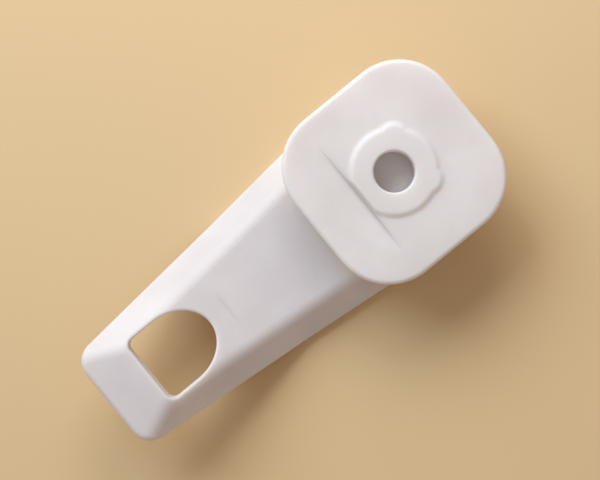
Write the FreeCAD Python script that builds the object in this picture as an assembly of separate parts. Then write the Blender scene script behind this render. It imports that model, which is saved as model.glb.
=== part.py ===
import FreeCAD, Part
import math
import os

# One moulded curtain glider, in millimetres. The origin is on the axis of the neck, on the flat back
# that the glider lies on. +X runs along the arm to the eye, +Z runs up the neck to the head.

# Head: the square plate that runs inside the rail
HEAD_SIDE = 14.0
HEAD_CORNER_RADIUS = 4.3
HEAD_THICKNESS = 1.5
HEAD_TOP_EDGE_RADIUS = 0.3
HEAD_UNDER_BEVEL = 0.3

# Boss: the low round pad about the core hole, with soft flanks and two small ears behind. The flank's
# profile is given as shares of its run and of the boss's height.
BOSS_RADIUS = 3.45
BOSS_HEIGHT = 0.2
BOSS_FLANK_RUN = 0.55
BOSS_FLANK_PROFILE = ((0, 0), (0.25, 0.12), (0.75, 0.88), (1, 1))
EAR_RADIUS = 1.35
EAR_REACH = 0.32
EAR_ANGLE = 51.0

# Split lines that the mould inserts leave across the head and the arm. The front one cuts off the boss.
SPLIT_FRONT = 2.95
SPLIT_REAR = 1.5
SPLIT_ARM = 15.5
SPLIT_REACH = 5.0
SPLIT_ARM_REACH = 1.6
SPLIT_DEPTH = 0.16
SPLIT_FAINT_DEPTH = 0.03
SPLIT_WALL_RUN = 0.15
SPLIT_RAMP_SLOPE = 0.08

# Neck: stands in the slot of the rail, cored from the top of the boss
NECK_DIAMETER = 6.2
NECK_HEIGHT = 2.2
NECK_FLARE = 0.4
CORE_DIAMETER = 3.0
CORE_FLOOR = 3.7
CORE_BEVEL = 0.12

# Arm: a tongue with sloped sides, level under the head and cranked up towards the eye
ARM_THICKNESS = 2.6
ARM_RIM_HEIGHT = 0.7
ARM_REACH = 26.4
ROOT_RADIUS = 6.8
TIP_WIDTH = 8.24
TIP_CORNER_RADIUS = 1.6
TIP_SLOPE_RUN = 3.6
CRANK_START = 12.0
CRANK_RUN = 1.4
CRANK_ANGLE = 22.0
CREASE_RADIUS = 1.3
RIM_RADIUS = 0.45
BACK_BEVEL = 0.12

# Eye: the arched opening for the curtain hook, with its straight side towards the tip
EYE_WIDTH = 5.28
EYE_LENGTH = 5.6
EYE_ARCH_LENGTH = 3.2
EYE_CORNER_RADIUS = 0.6
EYE_TO_TIP = 3.6
EYE_EDGE_RADIUS = 0.15

# Length by which a cutting or bounding solid runs past what it meets
OVERRUN = 1.0

# Smallest turn, in degrees, between two faces that makes their edge a sharp one
SHARP_TURN = 10.0
TOLERANCE = 1e-6

HEAD_UNDERSIDE = ARM_THICKNESS + NECK_HEIGHT
HEAD_TOP = HEAD_UNDERSIDE + HEAD_THICKNESS
BOSS_TOP = HEAD_TOP + BOSS_HEIGHT
ARM_BEVEL = ARM_THICKNESS - ARM_RIM_HEIGHT
CRANK_SLOPE = math.tan(math.radians(CRANK_ANGLE))
CRANK_END = CRANK_START + CRANK_RUN
ROOT_END = CRANK_START - OVERRUN
EYE_END = ARM_REACH - EYE_TO_TIP
UP = FreeCAD.Vector(0, 0, 1)


def at(x, y, z=0.0):
    return FreeCAD.Vector(x, y, z)


def line(start, end):
    return Part.LineSegment(start, end).toShape()


def curve(poles, middle_weight=1.0):
    bezier = Part.BezierCurve()
    bezier.setPoles(poles)
    bezier.setWeight(2, middle_weight)
    return bezier.toShape()


def prism(edges, travel):
    outline = Part.Wire(Part.sortEdges(edges)[0])
    return Part.Face(outline).extrude(travel)


def polygon(points):
    return Part.Face(Part.makePolygon(points + points[:1]))


def middle(edge):
    first, last = edge.ParameterRange
    return edge.valueAt((first + last) / 2)


def is_upright(edge):
    ends = [vertex.Point for vertex in edge.Vertexes]
    return len(ends) == 2 and ends[0].distanceToPoint(at(ends[1].x, ends[1].y, ends[0].z)) < TOLERANCE


def lies_at(edge, height):
    return all(abs(point.z - height) < TOLERANCE for point in [middle(edge), edge.Vertexes[0].Point])


# Turn in degrees between the two faces that meet at an edge
def turn(shape, edge):
    point = middle(edge)
    faces = shape.ancestorsOfType(edge, Part.Face)
    normals = [face.normalAt(*face.Surface.parameter(point)) for face in faces]
    return math.degrees(normals[0].getAngle(normals[-1]))


# Rounds the chosen edges. Each chain of edges is rounded from its longest edge on, because a start at a very
# short one can fail.
def soften(shape, radius, chosen):
    edges = [edge for edge in shape.Edges if edge.Length > TOLERANCE and chosen(edge)]
    return shape.makeFillet(radius, sorted(edges, key=lambda edge: -edge.Length))


def bevel(shape, size, chosen):
    edges = [edge for edge in shape.Edges if edge.Length > TOLERANCE and chosen(edge)]
    return shape.makeChamfer(size, edges)


def is_sharp(shape, edge):
    return edge.Length > TOLERANCE and turn(shape, edge) > SHARP_TURN


def head():
    half = HEAD_SIDE / 2
    plate = Part.makeBox(HEAD_SIDE, HEAD_SIDE, HEAD_THICKNESS, at(-half, -half, HEAD_UNDERSIDE))
    plate = soften(plate, HEAD_CORNER_RADIUS, is_upright)
    plate = bevel(plate, HEAD_UNDER_BEVEL, lambda edge: lies_at(edge, HEAD_UNDERSIDE))
    plate = soften(plate, HEAD_TOP_EDGE_RADIUS, lambda edge: lies_at(edge, HEAD_TOP))
    rear_line = split_line(SPLIT_FAINT_DEPTH, SPLIT_REACH).translated(at(-SPLIT_REAR, 0, HEAD_TOP))
    front_line = split_line(SPLIT_DEPTH, SPLIT_REACH, BOSS_HEIGHT).translated(at(SPLIT_FRONT, 0, HEAD_TOP))
    return plate.cut(rear_line).fuse(boss()).removeSplitter().cut(front_line)


# Shallow saw-tooth groove along Y, cut from z = 0 down: a short wall, then a long faint ramp. The wall also
# runs on up through what stands over z = 0, as far as its rise. The groove is turned about a high axis, so
# that it fades out at its reach to either side.
def split_line(depth, reach, rise=0.0):
    wall_top = -rise * SPLIT_WALL_RUN / depth
    run_out = SPLIT_WALL_RUN + depth / SPLIT_RAMP_SLOPE
    axis_height = (reach ** 2 - depth ** 2) / (2 * depth)
    section = [
        at(wall_top, 0, rise),
        at(SPLIT_WALL_RUN, 0, -depth),
        at(run_out, 0),
        at(run_out, 0, OVERRUN),
        at(wall_top, 0, OVERRUN),
    ]
    half_turn = math.degrees(math.atan2(reach + OVERRUN, axis_height))
    axis = at(0, 0, axis_height)
    face = polygon(section).rotated(axis, at(1, 0), -half_turn)
    return face.revolve(axis, at(1, 0), 2 * half_turn)


# Round pad with a soft flank, from inside the head up to the boss's top
def puck(radius):
    low = HEAD_TOP - HEAD_THICKNESS / 2
    foot = at(radius, 0, HEAD_TOP)
    flank = [foot + at(-run * BOSS_FLANK_RUN, 0, rise * BOSS_HEIGHT) for run, rise in BOSS_FLANK_PROFILE]
    section = [at(0, 0, low), at(radius, 0, low)] + flank + [at(0, 0, BOSS_TOP)]
    return polygon(section).revolve(at(0, 0), UP, 360)


def boss():
    ear = puck(EAR_RADIUS).translated(at(-(BOSS_RADIUS + EAR_REACH - EAR_RADIUS), 0))
    ears = [ear.rotated(at(0, 0), UP, angle) for angle in (-EAR_ANGLE, EAR_ANGLE)]
    return puck(BOSS_RADIUS).fuse(ears).removeSplitter()


def neck():
    return Part.makeCylinder(NECK_DIAMETER / 2, NECK_HEIGHT, at(0, 0, ARM_THICKNESS))


def core():
    return Part.makeCylinder(CORE_DIAMETER / 2, BOSS_TOP - CORE_FLOOR, at(0, 0, CORE_FLOOR))


# Angle between a side of the arm and its axis: the sides leave the round root at a tangent
def side_angle():
    half_tip = TIP_WIDTH / 2
    to_tip = math.hypot(ARM_REACH, half_tip)
    return math.atan2(ARM_REACH, half_tip) - math.acos(ROOT_RADIUS / to_tip)


def half_width(x):
    return (ROOT_RADIUS - x * math.sin(side_angle())) / math.cos(side_angle())


# Height that the crank adds at x, past the middle of its bend
def crank_lift(x):
    return max(0.0, x - CRANK_START - CRANK_RUN / 2) * CRANK_SLOPE


# Level line, soft bend and rising line in the XZ plane, from the root's end to x_high
def cranked_line(x_high, base, shear=0.0):
    def point(x):
        return at(x, 0, base + shear * (x - ROOT_END) + crank_lift(x))

    bend = [point(CRANK_START), point(CRANK_START + CRANK_RUN / 2), point(CRANK_END)]
    return [
        line(point(ROOT_END), bend[0]),
        curve(bend),
        line(bend[2], point(x_high)),
    ]


# Level part of the arm: a round end under the head, and sloped sides
def root():
    x_side = ROOT_RADIUS * math.sin(side_angle())
    y_side = ROOT_RADIUS * math.cos(side_angle())
    y_end = half_width(ROOT_END)
    outline = [
        line(at(ROOT_END, y_end), at(x_side, y_side)),
        Part.Arc(at(x_side, y_side), at(-ROOT_RADIUS, 0), at(x_side, -y_side)).toShape(),
        line(at(x_side, -y_side), at(ROOT_END, -y_end)),
        line(at(ROOT_END, -y_end), at(ROOT_END, y_end)),
    ]
    plate = prism(outline, UP * ARM_THICKNESS)
    inside = ROOT_END - TOLERANCE
    sides = [edge for edge in plate.Edges if lies_at(edge, ARM_THICKNESS) and middle(edge).x < inside]
    return plate.makeChamfer(ARM_BEVEL, sides)


# Side view of the cranked part, as a slab: rising back and face, and the long slope down to the tip
def crank_slab():
    crest_x = ARM_REACH - TIP_SLOPE_RUN
    crest = at(crest_x, 0, ARM_THICKNESS + crank_lift(crest_x))
    tip_low = at(ARM_REACH, 0, crank_lift(ARM_REACH))
    tip_high = tip_low + UP * ARM_RIM_HEIGHT
    side_view = cranked_line(ARM_REACH, 0) + cranked_line(crest_x, ARM_THICKNESS) + [
        line(at(ROOT_END, 0), at(ROOT_END, 0, ARM_THICKNESS)),
        line(tip_low, tip_high),
        line(tip_high, crest),
    ]
    slab = prism(side_view, at(0, 2 * ROOT_RADIUS))
    return slab.translated(at(0, -ROOT_RADIUS))


# Plan of the cranked part: a tapering tongue with round corners at its tip
def crank_plan():
    half_tip = TIP_WIDTH / 2
    corners = [
        at(ROOT_END, half_width(ROOT_END)),
        at(ARM_REACH, half_tip),
        at(ARM_REACH, -half_tip),
        at(ROOT_END, -half_width(ROOT_END)),
    ]
    tongue = polygon(corners).extrude(UP * (ARM_THICKNESS + crank_lift(ARM_REACH)))
    at_tip = ARM_REACH - TOLERANCE
    return soften(tongue, TIP_CORNER_RADIUS, lambda edge: is_upright(edge) and middle(edge).x > at_tip)


# Everything under one sloped side: a cranked line pushed outwards and down at the side's slope
def under_slope(side):
    fall = math.cos(side_angle())
    crease_y = half_width(ROOT_END) - ARM_BEVEL / fall
    x_high = ARM_REACH + OVERRUN
    depth = -2 * ROOT_RADIUS
    crown = cranked_line(x_high, ARM_THICKNESS + fall * crease_y, -math.sin(side_angle()))
    start = crown[0].Vertexes[0].Point
    end = crown[-1].Vertexes[-1].Point
    section = crown + [
        line(end, at(x_high, 0, depth)),
        line(at(x_high, 0, depth), at(ROOT_END, 0, depth)),
        line(at(ROOT_END, 0, depth), start),
    ]
    travel = at(0, side, -fall) * (2 * ROOT_RADIUS)
    return prism(section, travel * 2).translated(travel * -1)


def eye():
    half = EYE_WIDTH / 2
    arch_x = EYE_END - EYE_LENGTH + EYE_ARCH_LENGTH
    top_x = EYE_END - EYE_LENGTH
    quarter_weight = math.cos(math.pi / 4)
    outline = [
        curve([at(arch_x, half), at(top_x, half), at(top_x, 0)], quarter_weight),
        curve([at(top_x, 0), at(top_x, -half), at(arch_x, -half)], quarter_weight),
        line(at(arch_x, -half), at(EYE_END, -half)),
        line(at(EYE_END, -half), at(EYE_END, half)),
        line(at(EYE_END, half), at(arch_x, half)),
    ]
    opening = prism(outline, UP * (ARM_THICKNESS + crank_lift(ARM_REACH)))
    at_end = EYE_END - TOLERANCE
    return soften(opening, EYE_CORNER_RADIUS, lambda edge: is_upright(edge) and middle(edge).x > at_end)


def height_on_arm(point):
    return point.z - crank_lift(point.x)


def is_upper(edge):
    return height_on_arm(middle(edge)) > ARM_THICKNESS / 2


def is_back(edge):
    return height_on_arm(middle(edge)) < ARM_RIM_HEIGHT / 2


def arm():
    cranked = crank_slab().common(crank_plan()).common(under_slope(1)).common(under_slope(-1))
    tongue = root().fuse(cranked).removeSplitter()
    tongue = soften(tongue, CREASE_RADIUS, lambda edge: is_sharp(tongue, edge) and is_upper(edge))
    tongue = soften(tongue, RIM_RADIUS, lambda edge: is_sharp(tongue, edge) and not is_back(edge))
    tongue = bevel(tongue, BACK_BEVEL, lambda edge: is_sharp(tongue, edge))
    tongue = tongue.cut(eye())
    tongue = soften(tongue, EYE_EDGE_RADIUS, lambda edge: is_sharp(tongue, edge) and is_upper(edge))
    witness = split_line(SPLIT_FAINT_DEPTH, SPLIT_ARM_REACH)
    witness.rotate(at(0, 0), at(0, 1), -CRANK_ANGLE)
    witness.translate(at(SPLIT_ARM, 0, ARM_THICKNESS + crank_lift(SPLIT_ARM)))
    return tongue.cut(witness)


def from_axis(edge):
    return math.hypot(middle(edge).x, middle(edge).y)


def is_neck_end(edge):
    on_neck = abs(from_axis(edge) - NECK_DIAMETER / 2) < TOLERANCE
    return on_neck and (lies_at(edge, ARM_THICKNESS) or lies_at(edge, HEAD_UNDERSIDE))


def is_core_mouth(edge):
    return lies_at(edge, BOSS_TOP) and from_axis(edge) < CORE_DIAMETER / 2 + TOLERANCE


def glider():
    body = arm().fuse([neck(), head()]).removeSplitter()
    body = bevel(body, NECK_FLARE, is_neck_end)
    return bevel(body.cut(core()), CORE_BEVEL, is_core_mouth)


os.makedirs("parts", exist_ok=True)
glider().exportStep("parts/glider_body.step")
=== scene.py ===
import math

import bpy
from mathutils import Matrix, Vector

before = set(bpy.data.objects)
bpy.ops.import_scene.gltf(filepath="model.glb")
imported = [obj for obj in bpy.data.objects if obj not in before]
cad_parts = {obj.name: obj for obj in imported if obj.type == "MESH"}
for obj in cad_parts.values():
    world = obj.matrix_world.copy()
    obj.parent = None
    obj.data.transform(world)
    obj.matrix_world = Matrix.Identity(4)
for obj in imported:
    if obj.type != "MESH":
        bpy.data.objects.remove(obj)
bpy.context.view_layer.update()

# Image that the camera fills, in pixels
IMAGE_WIDTH = 600
IMAGE_HEIGHT = 480

# Camera: looks straight down on the glider, which lies aslant in the image. Lengths are in metres.
CAMERA_RANGE = 0.170
CAMERA_NEAR = 0.0017
PIXELS_PER_METRE = 13930.0
NECK_AXIS_PIXEL = (394.3, 171.8)
ARM_TURN = math.radians(39.2)
SENSOR_WIDTH = 36.0
HEAD_TOP = 0.0063

# Light: a cool soft lamp beyond the upper left corner of the image, a small near one beyond its upper side,
# so that the light falls off towards the eye, and a warm sky. A lamp's turn goes from the image's upper side
# to its left, in degrees. Its distance is taken from the neck's axis at the top of the head.
KEY = {
    "turn": 44.0,
    "elevation": 38.0,
    "distance": 0.30,
    "size": 0.22,
    "power": 0.67,
    "colour": (0.76, 0.89, 1.0),
}
FILL = {
    "turn": 7.0,
    "elevation": 37.0,
    "distance": 0.10,
    "size": 0.06,
    "power": 0.0405,
    "colour": (1.0, 1.0, 1.0),
}
SKY_COLOUR = (0.368, 0.314, 0.279, 1.0)

# Floor: a plain sheet of pale sand colour, a hair below the back that the glider lies on
FLOOR_SIZE = 1.2
FLOOR_DROP = 0.00002
FLOOR_COLOUR = (228, 198, 152)
FLOOR_ROUGHNESS = 0.9

# Plastic: white and satin, with faint clouds of colour. From about the head's edge on, the arm is painted a
# touch cooler and greyer than the head, as painted shade for the light falling off towards the eye. Some
# light scatters under the surface.
HEAD_PALE = (234, 229, 228)
HEAD_DEEP = (226, 220, 218)
ARM_SHADED_PALE = (229, 224, 225)
ARM_SHADED_DEEP = (221, 215, 216)
ARM_SHADE_FROM = 0.006
ARM_SHADE_TO = 0.009
CLOUD_SCALE = 180.0
CLOUD_SPAN = (0.35, 0.65)
NOISE_DETAIL = 3.0
NOISE_ROUGHNESS = 0.5
SCATTER_SHARE = 0.7
SCATTER_DEPTH = 0.0013
SCATTER_TINT = (1.0, 0.85, 0.7)
REFRACTION = 1.5

# Scuffs that change the roughness, stretched across the arm, and a fine grain in relief
SCUFF_SCALE = (2600.0, 120.0, 2600.0)
SCUFF_SPAN = (0.3, 0.7)
SCUFF_ROUGHNESS = (0.48, 0.64)
GRAIN_SCALE = 3500.0
GRAIN_HEIGHT = 0.00001
GRAIN_STRENGTH = 0.3

# Small dark specks in a share of the cells of a pattern. Their radius is a share of a cell's width.
SPECK_COLOUR = (176, 164, 150)
SPECK_SCALE = 620.0
SPECK_RADIUS = 0.06
SPECK_CHANCE = 0.3
SPECK_SHARE = 0.5

# Painted shade along the front split line of the head and, fainter, the one on the arm: a soft dark line in
# the groove whose wall turns away from the light. It is full over a share of its reach and fades out from
# there.
SPLIT_SHADE_COLOUR = (128, 116, 112)
SPLIT_SHADE_FULL_SHARE = 0.25
SPLIT_SHADE_LINES = (
    {"x": 0.00302, "half_width": 0.00040, "reach": 0.0052, "lowest": 0.0055, "share": 0.20},
    {"x": 0.01555, "half_width": 0.00024, "reach": 0.0018, "lowest": 0.0030, "share": 0.10},
)

# Directions of the image's right and upper sides in the frame of the part
IMAGE_RIGHT = Vector((-math.cos(ARM_TURN), math.sin(ARM_TURN), 0.0))
IMAGE_UP = Vector((-math.sin(ARM_TURN), -math.cos(ARM_TURN), 0.0))
SKYWARD = Vector((0.0, 0.0, 1.0))


# One colour channel from 0 to 255 as it is written, turned into linear light
def linear(channel):
    share = channel / 255
    return share / 12.92 if share <= 0.04045 else ((share + 0.055) / 1.055) ** 2.4


def rgba(colour):
    return (*[linear(channel) for channel in colour], 1.0)


def add_camera():
    right = (IMAGE_WIDTH / 2 - NECK_AXIS_PIXEL[0]) / PIXELS_PER_METRE
    down = (IMAGE_HEIGHT / 2 - NECK_AXIS_PIXEL[1]) / PIXELS_PER_METRE
    place = IMAGE_RIGHT * right - IMAGE_UP * down + SKYWARD * (HEAD_TOP + CAMERA_RANGE)
    data = bpy.data.cameras.new("camera")
    data.sensor_width = SENSOR_WIDTH
    data.sensor_fit = "HORIZONTAL"
    data.lens = SENSOR_WIDTH * PIXELS_PER_METRE * CAMERA_RANGE / IMAGE_WIDTH
    data.clip_start = CAMERA_NEAR
    camera = bpy.data.objects.new("camera", data)
    turn = Matrix((IMAGE_RIGHT, IMAGE_UP, SKYWARD)).transposed().to_4x4()
    camera.matrix_world = Matrix.Translation(place) @ turn
    bpy.context.scene.collection.objects.link(camera)
    bpy.context.scene.camera = camera


def add_lamp(name, lamp):
    data = bpy.data.lights.new(name, "AREA")
    data.shape = "DISK"
    data.size = lamp["size"]
    data.energy = lamp["power"]
    data.color = lamp["colour"]
    turn = math.radians(lamp["turn"])
    elevation = math.radians(lamp["elevation"])
    level = IMAGE_UP * math.cos(turn) - IMAGE_RIGHT * math.sin(turn)
    towards = level * math.cos(elevation) + SKYWARD * math.sin(elevation)
    piece = bpy.data.objects.new(name, data)
    piece.location = SKYWARD * HEAD_TOP + towards * lamp["distance"]
    piece.rotation_mode = "QUATERNION"
    piece.rotation_quaternion = (-towards).to_track_quat("-Z", "Y")
    bpy.context.scene.collection.objects.link(piece)


def add_sky():
    world = bpy.data.worlds.new("sky")
    world.use_nodes = True
    world.node_tree.nodes["Background"].inputs["Color"].default_value = SKY_COLOUR
    bpy.context.scene.world = world


# Nodes of one material, with short calls to add and join them
class Nodes:
    def __init__(self, material):
        material.use_nodes = True
        self.tree = material.node_tree
        self.shader = self.tree.nodes["Principled BSDF"]

    def add(self, kind, **settings):
        node = self.tree.nodes.new(kind)
        for key, value in settings.items():
            setattr(node, key, value)
        return node

    def join(self, source, target):
        self.tree.links.new(source, target)

    def put(self, node, **values):
        for name, value in values.items():
            node.inputs[name].default_value = value

    def place(self):
        return self.add("ShaderNodeTexCoord").outputs["Object"]

    def axes(self, vector):
        node = self.add("ShaderNodeSeparateXYZ")
        self.join(vector, node.inputs["Vector"])
        return [node.outputs[axis] for axis in "XYZ"]

    def stretched(self, scale):
        node = self.add("ShaderNodeMapping")
        self.join(self.place(), node.inputs["Vector"])
        self.put(node, Scale=scale)
        return node.outputs["Vector"]

    def noise(self, vector, scale=1.0):
        node = self.add("ShaderNodeTexNoise")
        self.join(vector, node.inputs["Vector"])
        self.put(node, Scale=scale, Detail=NOISE_DETAIL, Roughness=NOISE_ROUGHNESS)
        return node.outputs["Fac"]

    # Value from one span carried over to another, held at both ends
    def span(self, value, source, target, soft=False):
        node = self.add("ShaderNodeMapRange", interpolation_type="SMOOTHSTEP" if soft else "LINEAR")
        self.join(value, node.inputs["Value"])
        for name, number in zip(["From Min", "From Max", "To Min", "To Max"], source + target):
            node.inputs[name].default_value = number
        return node.outputs["Result"]

    def math(self, operation, *values):
        node = self.add("ShaderNodeMath", operation=operation)
        for socket, value in zip(node.inputs, values):
            if isinstance(value, float):
                socket.default_value = value
            else:
                self.join(value, socket)
        return node.outputs["Value"]

    def times(self, first, *others):
        for other in others:
            first = self.math("MULTIPLY", first, other)
        return first

    def mix(self, share, first, second):
        node = self.add("ShaderNodeMix", data_type="RGBA")
        self.join(share, node.inputs["Factor"])
        for socket, colour in ((node.inputs["A"], first), (node.inputs["B"], second)):
            if isinstance(colour, tuple):
                socket.default_value = colour
            else:
                self.join(colour, socket)
        return node.outputs["Result"]

    def bump(self, height, distance, strength):
        node = self.add("ShaderNodeBump")
        self.join(height, node.inputs["Height"])
        self.put(node, Distance=distance, Strength=strength)
        return node.outputs["Normal"]


# Small round specks, in some of the cells only
def specks(nodes):
    cells = nodes.add("ShaderNodeTexVoronoi")
    nodes.join(nodes.place(), cells.inputs["Vector"])
    nodes.put(cells, Scale=SPECK_SCALE)
    dot = nodes.span(cells.outputs["Distance"], (0.0, SPECK_RADIUS), (1.0, 0.0), soft=True)
    chance = nodes.axes(cells.outputs["Color"])[0]
    return nodes.times(dot, nodes.math("LESS_THAN", chance, SPECK_CHANCE), SPECK_SHARE)


# Painted shade: a soft dark line in the groove where the mould inserts met, fading out to either side
def painted_split_shade(nodes, mark):
    x, y, z = nodes.axes(nodes.place())
    from_line = nodes.math("ABSOLUTE", nodes.math("SUBTRACT", x, mark["x"]))
    across = nodes.span(from_line, (0.0, mark["half_width"]), (1.0, 0.0), soft=True)
    full = mark["reach"] * SPLIT_SHADE_FULL_SHARE
    along = nodes.span(nodes.math("ABSOLUTE", y), (full, mark["reach"]), (1.0, 0.0), soft=True)
    above = nodes.math("GREATER_THAN", z, mark["lowest"])
    return nodes.times(across, along, above, mark["share"])


def plastic_colour(nodes):
    cloud = nodes.span(nodes.noise(nodes.place(), CLOUD_SCALE), CLOUD_SPAN, (0.0, 1.0))
    x = nodes.axes(nodes.place())[0]
    # Painted shade: from about the head's edge on, the arm is mixed towards cooler, greyer colours for the
    # light falling off towards the eye
    arm_shade_share = nodes.span(x, (ARM_SHADE_FROM, ARM_SHADE_TO), (0.0, 1.0), soft=True)
    head = nodes.mix(cloud, rgba(HEAD_PALE), rgba(HEAD_DEEP))
    arm = nodes.mix(cloud, rgba(ARM_SHADED_PALE), rgba(ARM_SHADED_DEEP))
    colour = nodes.mix(arm_shade_share, head, arm)
    colour = nodes.mix(specks(nodes), colour, rgba(SPECK_COLOUR))
    # Painted shade darkens the split-line grooves
    for mark in SPLIT_SHADE_LINES:
        colour = nodes.mix(painted_split_shade(nodes, mark), colour, rgba(SPLIT_SHADE_COLOUR))
    return colour


def white_plastic():
    material = bpy.data.materials.new("white_plastic_satin")
    nodes = Nodes(material)
    scuff = nodes.noise(nodes.stretched(SCUFF_SCALE))
    grain = nodes.noise(nodes.place(), GRAIN_SCALE)
    nodes.join(plastic_colour(nodes), nodes.shader.inputs["Base Color"])
    nodes.join(nodes.span(scuff, SCUFF_SPAN, SCUFF_ROUGHNESS), nodes.shader.inputs["Roughness"])
    nodes.join(nodes.bump(grain, GRAIN_HEIGHT, GRAIN_STRENGTH), nodes.shader.inputs["Normal"])
    nodes.put(nodes.shader, **{"Subsurface Weight": SCATTER_SHARE, "Subsurface Radius": SCATTER_TINT})
    nodes.put(nodes.shader, **{"Subsurface Scale": SCATTER_DEPTH, "IOR": REFRACTION})
    return material


def floor_sheet():
    material = bpy.data.materials.new("floor_sheet")
    nodes = Nodes(material)
    nodes.put(nodes.shader, **{"Base Color": rgba(FLOOR_COLOUR), "Roughness": FLOOR_ROUGHNESS})
    return material


def add_floor():
    half = FLOOR_SIZE / 2
    mesh = bpy.data.meshes.new("floor")
    corners = [(-half, -half), (half, -half), (half, half), (-half, half)]
    mesh.from_pydata([(x, y, -FLOOR_DROP) for x, y in corners], [], [(0, 1, 2, 3)])
    mesh.materials.append(floor_sheet())
    floor = bpy.data.objects.new("floor", mesh)
    bpy.context.scene.collection.objects.link(floor)


def dress_glider():
    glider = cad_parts["glider_body"]
    glider.material_slots[0].material = white_plastic()


add_camera()
add_lamp("key", KEY)
add_lamp("fill", FILL)
add_sky()
add_floor()
dress_glider()
bpy.context.scene.view_settings.view_transform = "Standard"
